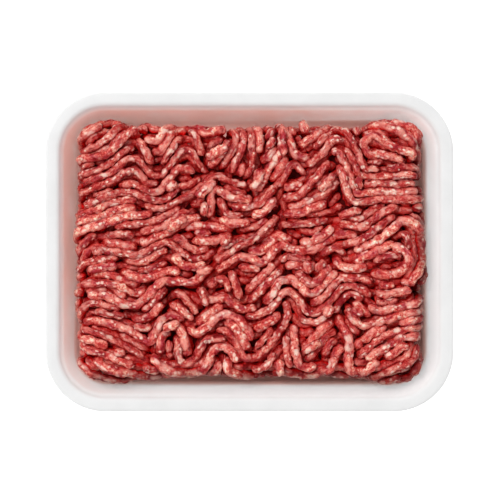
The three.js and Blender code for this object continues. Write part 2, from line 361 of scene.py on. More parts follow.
# The brick bulges in the middle of its short sides and near the ends of its long ones.
SIDE_BULGE, SIDE_BULGE_REACH = 2.5, 45
CORNER_BULGE, CORNER_BULGE_AT, CORNER_BULGE_REACH = 3, 80, 14
FOOT_TUCK = 5
FOOT_RISE = 10
STRAND = 4.8
PITCH = 5.0
# How far from its neighbours a strand may start, and how near to them it may be squeezed.
LEAST_START = 0.88
SQUEEZED = 0.76
STEP = 1.5
SHARPEST_TURN = math.radians(62)
SHORTEST = 8
LENGTHS = (60, 190)
MOST_SEATS = 60000
# A strand doesn't count its own last few points as neighbours.
OWN_POINTS = 6

# How the strands lie, seen from above: centre x and y, reach along x and y, and heading.
LIE = np.array(
    [
        (-83, 63, 6, 8, 42),
        (-76, 60, 5, 10, 48),
        (-67, 62, 2, 9, 5),
        (-61, 60, 3.5, 13, -64),
        (-54, 52, 2, 12, 0),
        (-47, 52, 4, 15, 60),
        (-37, 58, 2, 9, 0),
        (-30, 58, 4, 8, -62),
        (-20, 71, 7, 3, 18),
        (-19, 56, 5, 5, 40),
        (-11, 52, 3.5, 8, 72),
        (-5, 57, 3.5, 6, 54),
        (2, 53, 3, 8, 90),
        (-4, 67, 5, 5, 108),
        (7, 72, 3, 3, 55),
        (13, 60, 3, 5, 64),
        (24, 63, 3.5, 6, 110),
        (19, 51, 3, 5, 66),
        (24, 53, 2, 3, 0),
        (28, 49, 3, 5, -52),
        (33, 60, 4, 7, 24),
        (40, 60, 4, 9, 56),
        (50, 67, 3, 4, 0),
        (59, 60, 4, 9, -68),
        (66, 66, 4, 3, 35),
        (77, 65, 5, 4, -38),
        (86, 67, 7, 6, -28),
        (96, 64, 3, 8, -65),
        (-90, 52, 7, 7, 10),
        (-67, 49, 2.5, 4, 0),
        (-88, 38, 7, 5, 26),
        (-60, 29, 7, 4, -16),
        (-37, 44, 3, 4, -8),
        (-27, 36, 5, 4, 43),
        (-18, 29, 3.5, 5, -66),
        (-25, 25, 2.5, 4, 86),
        (-12, 37, 5, 4, -18),
        (4, 41, 3, 6, 63),
        (12, 25, 3, 5, 56),
        (15.5, 25, 2, 7, 80),
        (35, 32, 5, 5, 28),
        (34, 39, 3.5, 4, 52),
        (47, 37, 4, 6, 54),
        (50, 50, 4, 3, 5),
        (55, 42, 3.5, 8, -76),
        (-84, 22, 8, 7, 21),
        (-95, 2, 3, 5, 42),
        (-71, 5, 7, 4, -15),
        (-56, 2, 6, 6, 28),
        (-40, 2, 4, 5, -48),
        (-42, 15, 5, 4, 34),
        (-15, -2, 5, 5, 41),
        (8, 5, 4, 5, 43),
        (14, -2, 3, 5, 52),
        (1, -3, 4, 3, -24),
        (14, -11, 4, 4, 54),
        (23, 7, 4, 3, -30),
        (42, 4, 4, 5, 38),
        (41, -10, 4, 5, 47),
        (71, 15, 7, 6, 38),
        (82, 13, 4, 4, 48),
        (71, 2, 7, 5, 25),
        (85, 4, 4, 4, -28),
        (92, 14, 3, 3, -38),
        (94, 4, 3, 7, -88),
        (93, -11, 4, 3, 52),
        (-66, -17, 7, 4, -12),
        (-74, -22, 4, 5, -32),
        (-57, -24, 5, 7, 44),
        (-84, -40, 8, 6, -18),
        (-54, -33, 3.5, 5, 62),
        (-45, -37, 2.5, 3, 0),
        (-39, -35, 3.5, 6, -42),
        (-72, -52, 9, 5, -32),
        (-90, -66, 6, 5, -25),
        (-52, -56, 3.5, 7, 84),
        (-46, -48, 3, 3, 10),
        (-39, -55, 3.5, 8, -78),
        (-45, -60, 3, 6, 88),
        (-27, -62, 4, 6, 64),
        (-18, -64, 3, 5, 78),
        (-24, -38, 5, 5, 42),
        (-32, -27, 4, 4, -52),
        (-26, -17, 3.5, 4, 48),
        (-9, -20, 3, 5, -74),
        (-11, -38, 5, 4, -22),
        (-5, -52, 3.5, 7, -68),
        (-12, -57, 3.5, 5, -52),
        (-17, -52, 3, 3, 5),
        (1, -61, 3, 3, 5),
        (7, -60, 4, 5, 42),
        (12, -57, 4, 8, 58),
        (6, -22, 4, 5, 46),
        (14, -25, 3, 5, 60),
        (6, -37, 5, 4, 22),
        (18, -35, 2.5, 4, 74),
        (20, -17, 2.5, 3, 5),
        (29, -20, 4, 6, -48),
        (28, -31, 3.5, 5, -54),
        (25, -57, 3.5, 8, -84),
        (46, -23, 4, 6, 50),
        (40, -26, 5, 4, 34),
        (47, -33, 4, 6, 60),
        (68, -26, 4, 5, -42),
        (57, -42, 3.5, 5, -58),
        (37, -57, 4, 6, 50),
        (44, -60, 3.5, 7, 70),
        (48, -51, 3, 3, 15),
        (57, -59, 3, 7, 90),
        (70, -59, 4, 5, 44),
        (76, -55, 6, 5, 36),
        (86, -67, 6, 4, 20),
        (96, -62, 3, 5, 72),
        (84, -36, 7, 6, 16),
        (-58, -67, 6, 4, -22),
        (-56, -51, 2.5, 5, 55),
        (31, -49, 4, 4, 8),
        (59, 15, 4, 3, -18),
        (-95, -34, 3, 4, 48),
        (49, -2, 3, 3, -42),
        (-46, -69, 7, 4, -16),
        (-32, -70, 7, 4, 12),
        (-18, -71, 6, 3, -10),
        (-4, -69, 7, 4, -28),
        (10, -70, 7, 3, 22),
        (24, -70, 6, 4, -14),
        (38, -70, 8, 3, 14),
        (52, -70, 7, 4, -18),
        (66, -71, 7, 3, 16),
    ]
)
# How fast an entry's pull falls with distance, how much a gentle wave of the whole pile counts
# beside them all, and how far out the lie is read.
LIE_FALL = 0.75
BASE_SHARE = 0.04
EDGE_LIE = (94, 67)

# Hollows: centre x and y, reach along x and y, and depth.
HOLLOWS = np.array(
    [
        (15, 27, 3, 12, 3.0),
        (10, 41, 4, 4, 2.4),
        (7, 12, 8, 3, 2.4),
        (-8, 12, 3.5, 5, 3.0),
        (49, 33, 3.2, 13, 3.0),
        (48, 18, 6, 8, 2.6),
        (45, 57, 3, 7, 3.0),
        (44, 68, 3, 4, 2.2),
        (53, -33, 4, 6, 3.0),
        (49, -43, 4, 4, 2.8),
        (42, -5, 8, 4, 2.6),
        (-22, -9, 3.5, 9, 3.0),
        (-33, -58, 3, 9, 3.0),
        (-63, -37, 8, 3, 2.6),
        (-48, -31, 4, 3, 2.6),
        (-58, -58, 4, 3, 2.4),
        (-47, -59, 4, 3, 2.4),
        (-51, -69, 3, 3, 2.4),
        (-22, 47, 3, 4, 2.8),
        (-15, 52, 3, 4, 2.4),
        (-38, 52, 3, 4, 2.6),
        (-43, 68, 3, 5, 2.4),
        (-30, 26, 3, 4, 2.8),
        (-30, 37, 3, 4, 2.4),
        (-20, 26, 2.5, 5, 2.2),
        (5, 52, 3, 5, 2.8),
        (16, 50, 4, 3, 2.4),
        (24, 46, 3, 5, 2.8),
        (-3, -19, 4, 3, 2.4),
        (1, -57, 3, 6, 2.8),
        (-1, -66, 4, 3, 2.6),
        (4, -45, 4, 3, 2.4),
        (16, -43, 4, 4, 2.6),
        (20, -11, 3, 3, 2.2),
        (86, 7, 4, 4, 3.2),
        (82, -9, 4, 3, 2.6),
        (88, -16, 5, 3, 2.2),
        (40, -62, 3, 8, 2.8),
        (52, -60, 5, 3, 2.6),
        (78, -63, 8, 3, 2.2),
        (65, -50, 4, 3, 2.2),
        (-68, 11, 5, 2.5, 2.2),
        (-43, 20, 4, 3, 2.2),
        (-49, -10, 7, 2.5, 2.0),
    ]
)
DEEPEST_HOLLOW = 4
# The deeper hollows are open in the middle, over this share of their reach and this much more.
OPEN_FROM = 2.5
GAP_SHARE = 0.3
GAP_MARGIN = 1.5


def chance(a, b):
    """A repeatable number from 0 to 1 for a pair of whole numbers."""
    s = math.sin(a * 12.9898 + b * 78.233) * 43758.5453
    return s - math.floor(s)


def swell(t):
    return math.exp(-t * t)


def grain(u, v):
    """The heading of the strands at a point of the flat pattern, from nought to half a turn."""
    u = min(max(u, -EDGE_LIE[0]), EDGE_LIE[0])
    v = min(max(v, -EDGE_LIE[1]), EDGE_LIE[1])
    wave = 5 * math.sin(u / 9 + 2 * math.sin(v / 13)) + 3 * math.sin(v / 5 - u / 21)
    dx = (u - LIE[:, 0]) / LIE[:, 2]
    dy = (v - LIE[:, 1]) / LIE[:, 3]
    pull = np.exp(-LIE_FALL * (dx * dx + dy * dy))
    # The double angle counts a strand's two directions as one, so headings can be mixed.
    base = math.radians(2 * wave)
    turns = np.radians(2 * LIE[:, 4])
    cos = BASE_SHARE * math.cos(base) + float(np.sum(pull * np.cos(turns)))
    sin = BASE_SHARE * math.sin(base) + float(np.sum(pull * np.sin(turns)))
    return (math.atan2(sin, cos) % (2 * math.pi)) / 2


def hollow(u, v):
    """How far the pile has sunk at a point of the flat pattern."""
    dx = (u - HOLLOWS[:, 0]) / HOLLOWS[:, 2]
    dy = (v - HOLLOWS[:, 1]) / HOLLOWS[:, 3]
    return min(float(np.sum(HOLLOWS[:, 4] * np.exp(-dx * dx - dy * dy))), DEEPEST_HOLLOW)


def in_gap(u, v):
    """Whether a strand here would close the open middle of a hollow."""
    dx = (u - HOLLOWS[:, 0]) / (GAP_SHARE * HOLLOWS[:, 2] + GAP_MARGIN)
    dy = (v - HOLLOWS[:, 1]) / (GAP_SHARE * HOLLOWS[:, 3] + GAP_MARGIN)
    return bool(np.any((dx * dx + dy * dy < 1) & (HOLLOWS[:, 4] > OPEN_FROM)))


def drape(u, v, lift):
    """Lays a point of the flat pattern on the brick: on its top, round its edge, down its side."""
    far_x = MINCE_LENGTH / 2 + SIDE_BULGE * swell(v / SIDE_BULGE_REACH) - MINCE_EDGE
    corner = swell((abs(u) - CORNER_BULGE_AT) / CORNER_BULGE_REACH)
    far_y = MINCE_WIDTH / 2 + CORNER_BULGE * corner - MINCE_EDGE
    x = min(max(u, -far_x), far_x)
    y = min(max(v, -far_y), far_y)
    beyond = math.hypot(u - x, v - y)
    bend = MINCE_EDGE - STRAND / 2
    shoulder = MINCE_TOP - MINCE_EDGE
    x0, y0 = MINCE_MIDDLE
    if beyond == 0:
        return x0 + x, y0 + y, shoulder + bend + lift
    angle = min(beyond / bend, math.pi / 2)
    z = shoulder + (bend + lift) * math.cos(angle) - (beyond - angle * bend)
    near_foot = min(max((MINCE_FOOT + FOOT_RISE + STRAND - z) / FOOT_RISE, 0), 1)
    tuck = FOOT_TUCK * near_foot**2
    reach = (bend + lift) * math.sin(angle) - tuck
    return x0 + x + (u - x) / beyond * reach, y0 + y + (v - y) / beyond * reach, z


class Layer:
    """Strands laid side by side on the flat pattern, and the seats that they already fill."""

    def __init__(self, start, draw):
        self.strands = []
        self.seats = np.empty((MOST_SEATS, 3))
        self.filled = 0
        self.draw = draw
        self.start = start
        self.lowest = 0
        self.start_gap, self.gap, self.shortest = LEAST_START, SQUEEZED, SHORTEST
        self.turn = 0
        self.has_gaps = False

    def is_clear(self, p, gap):
        """Whether a strand may pass here: on the brick, in no open hollow, and clear of others."""
        seat = drape(*p, 0)
        if seat[2] <= self.lowest or (self.has_gaps and in_gap(*p)):
            return False
        away = self.seats[: self.filled] - seat
        return bool(np.all(np.einsum("ij,ij->i", away, away) > gap * gap))

    def followed(self, start, backwards, length, others):
        """The points of a strand that follows the grain until it is stopped or long enough."""
        path = []
        x, y = start
        gap = self.gap * PITCH
        heading = grain(x, y) + self.turn + (math.pi if backwards else 0)
        run = STEP
        while run <= length:
            onward = grain(x, y) + self.turn
            onward += math.pi * math.floor((heading - onward) / math.pi + 0.5)
            if abs(onward - heading) > SHARPEST_TURN:
                break
            heading = onward
            x += STEP * math.cos(heading)
            y += STEP * math.sin(heading)
            own = path[:-OWN_POINTS] + others
            if not self.is_clear((x, y), gap) or any(
                math.hypot(q[0] - x, q[1] - y) <= gap for q in own
            ):
                break
            path.append((x, y))
            run += STEP
        return path

    def lay(self, start):
        """Lays a strand both ways from its start, if there is room for one."""
        if not self.is_clear(start, self.start_gap * PITCH):
            return
        n = len(self.strands) + self.draw
        length = LENGTHS[0] + (LENGTHS[1] - LENGTHS[0]) * chance(n, 1)
        part = chance(n, 2)
        ahead = self.followed(start, False, length * part, [])
        behind = self.followed(start, True, length * (1 - part), ahead[OWN_POINTS - 1 :])
        strand = behind[::-1] + [start] + ahead
        if (len(strand) - 1) * STEP < self.shortest:
            return
        self.strands.append(strand)
        for p in strand:
            self.seats[self.filled] = drape(*p, 0)
            self.filled += 1

    def spread(self, lowest):
        """Lays strands beside those already laid until the brick is covered down to this height."""
        self.lowest = lowest
        if not self.strands:
            self.lay(self.start)
        n = 0
        while n < len(self.strands):
            for x, y in self.strands[n]:
                square = grain(x, y) + self.turn + math.pi / 2
                dx, dy = PITCH * math.cos(square), PITCH * math.sin(square)
                self.lay((x + dx, y + dy))
                self.lay((x - dx, y - dy))
            n += 1


# The upper layer is laid twice, the second time with shorter strands in what room is left.
UPPER_FOOT = MINCE_FOOT + 2.6
LOWER_FOOT = MINCE_FOOT + 12
DEEP_FOOT = MINCE_FOOT + 18
upper = Layer(start=(-20, 0), draw=0)
upper.has_gaps = True
for sizes in ((0.9, 0.62, 18), (0.8, 0.6, 12)):
    upper.start_gap, upper.gap, upper.shortest = sizes
    upper.spread(UPPER_FOOT)
lower = Layer(start=(3, 2), draw=500)
lower.spread(LOWER_FOOT)
deep = Layer(start=(-4, 5), draw=1500)
deep.turn = math.radians(35)
deep.spread(DEEP_FOOT)

# The pile
# The strands tear into shorter lengths as they fall, sink into hollows, ride over one another and
# come to rest. Short bits fill the gaps between them, and a few loose ones lie across the top.
TORN = (60, 220)
TORN_SHORT = 1.5
UNEVEN = 1.2
SWAY, SWAY_WAVES = 0.28, (19, 8)
HEAVE, HEAVE_WAVES = 0.5, (23, 9)
SHORT_WAVE = 0.6
END_RUN = 6
END_DIP = 3.4
LAYER_DROP = 3.6
LOOSE_LIFT = 3.4
# Loose lengths on top: middle x and y, heading, length, and how much they curl along the way.
LOOSE = (
    (-25.5, 25, 88, 9, 10),
    (-18.5, 55.5, 38, 13, 15),
    (-42.5, 15, 33, 13, 0),
    (-25, 35, 43, 14, -25),
    (-46, 36.5, 40, 7, 0),
    (-15, 5.5, 50, 7, 0),
    (17.5, 60, 96, 13, -30),
    (61, 40.5, -75, 8, 0),
    (4.5, 40, 65, 14, 25),
    (30.5, 67, 100, 7, 0),
    (44, 39, 52, 13, 10),
    (58, 21, 12, 13, -20),
    (13, 60, 62, 8, 0),
    (-45.5, -44.5, 20, 10, -45),
    (-27, -12, 14, 9, 20),
    (-26, -25, -70, 10, 60),
    (32.5, -9, 95, 8, 0),
    (42, -9, 50, 9, 0),
    (61, -34.5, -35, 7, 0),
    (35, -54, 28, 12, 10),
    (18, -65, 90, 7, 0),
    (45, -36, 60, 8, 0),
)


def torn(strand, n):
    """A strand's torn lengths, the shorter ones the more common."""
    lengths = []
    start = k = 0
    while start < len(strand):
        part = chance(97 * n + k, 11) ** TORN_SHORT
        end = start + round((TORN[0] + (TORN[1] - TORN[0]) * part) / STEP)
        if len(strand) - end < SHORTEST / STEP:
            end = len(strand)
        lengths.append(strand[start:end])
        start = end
        k += 1
    return lengths


def waves(s, lengths, n, draw):
    """The sum of a long wave and a weaker short one, each with a start of its own."""
    far = math.sin(s / lengths[0] + 9 * chance(n, draw))
    near = math.sin(s / lengths[1] + 9 * chance(n, draw + 1))
    return far + SHORT_WAVE * near


def lying(length, n, lift, sway, heave, end_dip):
    """A length's places on the brick. It sways and heaves on its way, and its ends veer and dip."""
    path = np.array(length)
    for _ in range(2):
        path[1:-1] = (path[:-2] + 2 * path[1:-1] + path[2:]) / 4
    along = np.gradient(path, axis=0)
    aside = np.stack([-along[:, 1], along[:, 0]], axis=1)
    aside /= np.linalg.norm(aside, axis=1)[:, None]
    last = len(length) - 1
    places = []
    for i, (x, y) in enumerate(path):
        s = i * STEP * 2 * math.pi
        to_start = swell(i * STEP / END_RUN)
        to_end = swell((last - i) * STEP / END_RUN)
        side = sway * waves(s, SWAY_WAVES, n, 21)
        side += 2 * sway * (2 * chance(n, 23) - 1) * to_start
        side += 2 * sway * (2 * chance(n, 24) - 1) * to_end
        up = heave * waves(s, HEAVE_WAVES, n, 25)
        up -= end_dip * (chance(n, 27) * to_start + chance(n, 28) * to_end)
        u, v = x + aside[i, 0] * side, y + aside[i, 1] * side
        places.append(drape(u, v, lift + up - hollow(u, v)))
    return places


def loose_path(x, y, heading, length, curl):
    """A length that lies across the others, bent evenly to one side."""
    count = round(length / STEP)
    path = []
    for i in range(count + 1):
        path.append((x, y))
        angle = math.radians(heading + curl * (i / count - 0.5))
        x += STEP * math.cos(angle)
        y += STEP * math.sin(angle)
    middle = path[count // 2]
    return [(px - middle[0] + path[0][0], py - middle[1] + path[0][1]) for px, py in path]


upper_lines = []
for n, strand in enumerate(upper.strands):
    for k, length in enumerate(torn(strand, n)):
        if len(length) > 3:
            m = 61 * n + k
            lift = UNEVEN * (2 * chance(m, 3) - 1)
            upper_lines.append(lying(length, m, lift, SWAY, HEAVE, END_DIP))

# Bits that fill what room is left, tried all over a field a little larger than the brick.
FILL_START = 0.74
FILL_GAP = 0.66
FILL_SHORTEST = 7
FILL_DROP = 2.6
FIELD = (210, 164)
FIELD_GRID = (92, 72)


def filled_in(layer, draw, lowest):
    """Short lengths that follow the grain through whatever room this layer has left."""
    bits = Layer(start=(0, 0), draw=draw)
    bits.seats[: layer.filled] = layer.seats[: layer.filled]
    bits.filled = layer.filled
    bits.turn = layer.turn
    bits.has_gaps = layer.has_gaps
    bits.lowest = lowest
    bits.start_gap, bits.gap, bits.shortest = FILL_START, FILL_GAP, FILL_SHORTEST
    columns, rows = FIELD_GRID
    for i in range(columns * rows):
        u = (i % columns + chance(i, 31)) / columns * FIELD[0] - FIELD[0] / 2
        v = (i // columns + chance(i, 32)) / rows * FIELD[1] - FIELD[1] / 2
        bits.lay((u, v))
    return bits.strands


filler_lines = [
    lying(length, 7000 + n, -FILL_DROP, SWAY / 2, HEAVE / 2, 2)
    for n, length in enumerate(filled_in(upper, 900, UPPER_FOOT))
]
lower_lines = [
    lying(length, 9000 + n, -LAYER_DROP, SWAY, HEAVE, 1)
    for n, length in enumerate(lower.strands + filled_in(lower, 2900, LOWER_FOOT))
]
deep_lines = [
    np.array(lying(length, 12000 + n, -2 * LAYER_DROP, SWAY, HEAVE, 1))
    for n, length in enumerate(deep.strands)
]
loose_lines = [
    lying(loose_path(*given), 9500 + n, LOOSE_LIFT, 0.2, 0.2, 1.5)
    for n, given in enumerate(LOOSE)
]

# How near two strands' middles come where they touch, and how the pile comes to rest.
TOUCH = 4.6
SEEN_APART = TOUCH + 1.2
LEAST_APART = 0.05
ROUNDS = 75
ROUNDS_A_LOOK = 15
PUSH = 1.2
RETURN = 0.995


def settled(groups):
    """Lets the lines of these groups (lines, ease, sink) push each other apart until they touch."""
    lines = [line for group, _, _ in groups for line in group]
    rest = np.array([p for line in lines for p in line])
    sizes = [len(line) for line in lines]
    owner = np.repeat(np.arange(len(lines)), sizes)
    ease = np.concatenate([[e] * sum(map(len, g)) for g, e, _ in groups])
    sink = np.concatenate([[k] * sum(map(len, g)) for g, _, k in groups])
    index = np.arange(len(rest))
    before = np.where(np.roll(owner, 1) == owner, index - 1, index)
    after = np.where(np.roll(owner, -1) == owner, index + 1, index)
    before[0], after[-1] = 0, len(rest) - 1
    shift = np.zeros_like(rest)
    for turn in range(ROUNDS):
        place = rest + shift
        if turn % ROUNDS_A_LOOK == 0:
            nearby = KDTree(len(rest))
            for i, p in enumerate(place):
                nearby.insert(p, i)
            nearby.balance()
            pairs = np.array(
                [
                    (i, j)
                    for i, p in enumerate(place)
                    for _, j, _ in nearby.find_range(p, SEEN_APART)
                    if j > i and (owner[i] != owner[j] or j - i >= OWN_POINTS)
                ]
            )
            a, b = pairs[:, 0], pairs[:, 1]
        away = place[b] - place[a]
        apart = np.maximum(np.linalg.norm(away, axis=1), LEAST_APART)
        press = np.maximum(TOUCH - apart, 0) / apart
        # Of two strands that press on each other, the easier one gives way further.
        part = ease[a] / (ease[a] + ease[b])
        touching = np.bincount(a, press > 0, len(rest)) + np.bincount(b, press > 0, len(rest))
        for k in range(3):
            push = away[:, k] * press
            moved = np.bincount(b, push * (1 - part), len(rest))
            moved -= np.bincount(a, push * part, len(rest))
            shift[:, k] += PUSH * moved / np.maximum(touching, 1)
        shift[:, 2] -= sink
        # A push spreads along its strand, so that the strand bends and doesn't kink.
        for _ in range(2):
            shift = 0.25 * shift[before] + 0.5 * shift + 0.25 * shift[after]
        shift *= RETURN
    place = rest + shift
    ends = np.cumsum(sizes)[:-1]
    every = np.split(place, ends)
    result = []
    for group, _, _ in groups:
        result.append(every[: len(group)])
        every = every[len(group) :]
    return result


# Each group with how easily it is pushed, and how far it sinks in a round.
upper_lines, filler_lines, lower_lines, loose_lines = settled(
    [
        (upper_lines, 1.0, 0.012),
        (filler_lines, 1.0, 0.012),
        (lower_lines, 0.2, 0.0),
        (loose_lines, 1.5, 0.05),
    ]
)

# The strands of mince
# Lean beef and white fat cut small and pressed through a plate with small round holes. Each strand
# is soft and lumpy, moist on its surface, speckled with fat, and blunt where it broke off.
STRAND_SIZES = {
    "Radius": 2.5 * MM,
    "Girth": 0.15,
    "Lumps": 1.3 * MM,
    "Pits": 0.18 * MM,
    "Wander": 0.6 * MM,
}
LEAST_GIRTH, GIRTH_RANGE = 0.86, 0.26
BLUNT_END = 0.05
CHUNKS = 330
STRAND_INPUTS = (
    ("Lines", "Geometry"),
    ("Step", "Float"),
    ("Sides", "Int"),
    ("Material", "Material"),
    *((name, "Float") for name in STRAND_SIZES),
)


def line_object(name, lines, first):
    """The strands' centre lines as loose edges, each point with its strand's own random number."""
    verts, edges, own = [], [], []
    for n, line in enumerate(lines):
        start = len(verts)
        verts += [Vector(p) * MM for p in line]
        edges += [(start + i, start + i + 1) for i in range(len(line) - 1)]
        own += [chance(n + first, 7)] * len(line)
    data = bpy.data.meshes.new(name)
    data.from_pydata(verts, edges, [])
    mark(data, "own", own)
    obj = bpy.data.objects.new(name, data)
    bpy.context.scene.collection.objects.link(obj)
    return obj


def strand_tree():
    """Turns centre lines into strands: a round section, uneven in girth, with rounded ends."""
    tree = bpy.data.node_groups.new("strands", "GeometryNodeTree")
    for name, kind in STRAND_INPUTS:
        tree.interface.new_socket(name, in_out="INPUT", socket_type="NodeSocket" + kind)
    tree.interface.new_socket("Strands", in_out="OUTPUT", socket_type="NodeSocketGeometry")
    given = put(tree, "NodeGroupInput").outputs

    def sum_of(operation, *values):
        inputs = dict(enumerate(values))
        return put(tree, "ShaderNodeMath", inputs, operation=operation).outputs["Value"]

    def swing(vector, scale, detail):
        """Smooth noise from about -1 to 1."""
        return sum_of("MULTIPLY_ADD", noise(tree, vector, scale, detail), 4.0, -2.0)

    def scaled(vector, scale):
        inputs = {0: vector, "Scale": scale}
        return put(tree, "ShaderNodeVectorMath", inputs, operation="SCALE").outputs["Vector"]

    def xyz(x, y, z):
        return put(tree, "ShaderNodeCombineXYZ", {"X": x, "Y": y, "Z": z}).outputs["Vector"]

    def parts_of(vector):
        return put(tree, "ShaderNodeSeparateXYZ", {"Vector": vector}).outputs

    curve = put(tree, "GeometryNodeMeshToCurve", {"Mesh": given["Lines"]}).outputs["Curve"]
    smooth = put(
        tree, "GeometryNodeCurveSplineType", {"Curve": curve}, spline_type="CATMULL_ROM"
    )
    resampled = put(
        tree,
        "GeometryNodeResampleCurve",
        {"Curve": smooth.outputs["Curve"], "Length": given["Step"]},
        mode="LENGTH",
    )
    named = put(tree, "GeometryNodeInputNamedAttribute", {"Name": "own"}, data_type="FLOAT")
    own = named.outputs["Attribute"]
    # The place of each point along its strand, moved far off for each so that no two are alike.
    along = put(tree, "GeometryNodeSplineParameter").outputs["Length"]
    whole = put(tree, "GeometryNodeSplineLength").outputs["Length"]
    line_place = xyz(along, sum_of("MULTIPLY", own, 10.0), 0.0)
    # Rounded ends: the radius follows a half circle over the last radius of the strand.
    to_end = sum_of("MINIMUM", along, sum_of("SUBTRACT", whole, along))
    near_end = sum_of("MINIMUM", sum_of("DIVIDE", to_end, given["Radius"]), 1.0)
    to_full = sum_of("SUBTRACT", 1.0, near_end)
    square = sum_of("SUBTRACT", 1.0, sum_of("MULTIPLY", to_full, to_full))
    round_end = sum_of("SQRT", sum_of("MAXIMUM", square, BLUNT_END))
    # Each strand has a girth of its own, which comes and goes a little along it.
    own_girth = sum_of("MULTIPLY_ADD", own, GIRTH_RANGE, LEAST_GIRTH)
    uneven = sum_of("MULTIPLY_ADD", swing(line_place, 280, 1), given["Girth"], 1.0)
    girth = sum_of("MULTIPLY", sum_of("MULTIPLY", round_end, own_girth), uneven)
    # A small wander off the line, so that strands aren't ruled.
    drift = noise(tree, line_place, 150, 1, output="Color")
    centred = put(
        tree, "ShaderNodeVectorMath", {0: drift, 1: grey(0.5)}, operation="SUBTRACT"
    )
    moved = put(
        tree,
        "GeometryNodeSetPosition",
        {
            "Geometry": resampled.outputs["Curve"],
            "Offset": scaled(centred.outputs["Vector"], given["Wander"]),
        },
    )
    # The section, with each point's place on it kept for the pattern of lean and fat.
    circle = put(
        tree,
        "GeometryNodeCurvePrimitiveCircle",
        {"Resolution": given["Sides"], "Radius": given["Radius"]},
    )
    section = put(tree, "GeometryNodeCaptureAttribute")
    section.capture_items.new("VECTOR", "Spot")
    position = put(tree, "GeometryNodeInputPosition").outputs["Position"]
    feed(tree, section, {"Geometry": circle.outputs["Curve"], "Spot": position})
    line = put(tree, "GeometryNodeCaptureAttribute")
    line.capture_items.new("VECTOR", "Place")
    line.capture_items.new("FLOAT", "Own")
    feed(
        tree, line, {"Geometry": moved.outputs["Geometry"], "Place": line_place, "Own": own}
    )
    tube = put(
        tree,
        "GeometryNodeCurveToMesh",
        {
            "Curve": line.outputs["Geometry"],
            "Profile Curve": section.outputs["Geometry"],
            "Scale": girth,
            "Fill Caps": True,
        },
    )
    # The pattern's own space: length along the strand, and the place across its section.
    spot, place = parts_of(section.outputs["Spot"]), parts_of(line.outputs["Place"])
    pattern = xyz(place["X"], sum_of("ADD", spot["X"], place["Y"]), spot["Y"])
    # Each chunk of lean or fat bulges a little, and the surface is pitted.
    chunk = put(
        tree,
        "ShaderNodeTexVoronoi",
        {"Vector": pattern, "Scale": CHUNKS, "Smoothness": 0.3},
        feature="SMOOTH_F1",
    )
    bulge = sum_of("SUBTRACT", 0.5, chunk.outputs["Distance"])
    lumps = sum_of("MULTIPLY", bulge, given["Lumps"])
    pits = sum_of("MULTIPLY", swing(pattern, 900, 2), given["Pits"])
    normal = put(tree, "GeometryNodeInputNormal").outputs["Normal"]
    outward = scaled(normal, sum_of("ADD", lumps, pits))
    swollen = put(
        tree, "GeometryNodeSetPosition", {"Geometry": tube.outputs["Mesh"], "Offset": outward}
    )
    made = swollen.outputs["Geometry"]
    for name, kind, value in (
        ("meat", "FLOAT_VECTOR", pattern),
        ("strand", "FLOAT", line.outputs["Own"]),
    ):
        stored = put(
            tree,
            "GeometryNodeStoreNamedAttribute",
            {"Geometry": made, "Name": name, "Value": value},
            data_type=kind,
            domain="POINT",
        )
        made = stored.outputs["Geometry"]
    made = put(tree, "GeometryNodeSetShadeSmooth", {"Geometry": made}).outputs["Geometry"]
    made = put(tree, "GeometryNodeRealizeInstances", {"Geometry": made}).outputs["Geometry"]
    painted = {"Geometry": made, "Material": given["Material"]}
    made = put(tree, "GeometryNodeSetMaterial", painted).outputs["Geometry"]
    put(tree, "NodeGroupOutput", {"Strands": made})
    return tree


# A point this deep under the brick's outside is in the open, and one this much deeper is hidden.
OPEN_DEPTH, HIDDEN_DEPTH = 1.5, 5
SHADE_GROWTH, SHADE_START = 2, 0.9


def mark_light(data):
    """Stores how exposed each point is, 1 on top of the pile and 0 down in the gaps, and how far
    it is on the near and right sides, which face away from the lamp."""
    place = np.empty(3 * len(data.vertices))
    facing = np.empty(3 * len(data.vertices))
    data.vertices.foreach_get("co", place)
    data.vertex_normals.foreach_get("vector", facing)
    x, y, z = place.reshape(-1, 3).T / MM
    far_x = MINCE_LENGTH / 2 + SIDE_BULGE * np.exp(-((y / SIDE_BULGE_REACH) ** 2)) - MINCE_EDGE
    far_y = MINCE_WIDTH / 2 - MINCE_EDGE
    outward = np.stack(
        [
            np.sign(x) * np.maximum(np.abs(x) - far_x, 0),
            np.sign(y) * np.maximum(np.abs(y) - far_y, 0),
            np.maximum(z - (MINCE_TOP - MINCE_EDGE), 0.01),
        ],
        axis=1,
    )
    reach = np.linalg.norm(outward, axis=1)
    depth = MINCE_EDGE - STRAND / 2 - reach
    turned_out = np.sum(facing.reshape(-1, 3) * outward, axis=1) / reach
    in_open = np.clip((OPEN_DEPTH - depth) / HIDDEN_DEPTH, 0, 1)
    exposed = np.clip(0.5 * turned_out + 0.5 * in_open, 0, 1)
    mark(data, "exposed", exposed.astype(np.float32))
    turned_away = (outward[:, 0] - outward[:, 1]) / reach
    shade = np.clip(SHADE_GROWTH * turned_away - SHADE_START, 0, 1)
    mark(data, "shade", shade.astype(np.float32))


meat, meat_tree, shader = new_material("minced_beef")
pattern = attribute(meat_tree, "meat", "Vector")


def meat_noise(scale, stretch, detail, roughness=0.5):
    """Noise in a strand's own space, drawn out along it by the stretch."""
    drawn = {"Vector": pattern, "Scale": (1 / stretch, 1, 1)}
    drawn = put(meat_tree, "ShaderNodeMapping", drawn).outputs["Vector"]
    return noise(meat_tree, drawn, scale, detail, roughness)


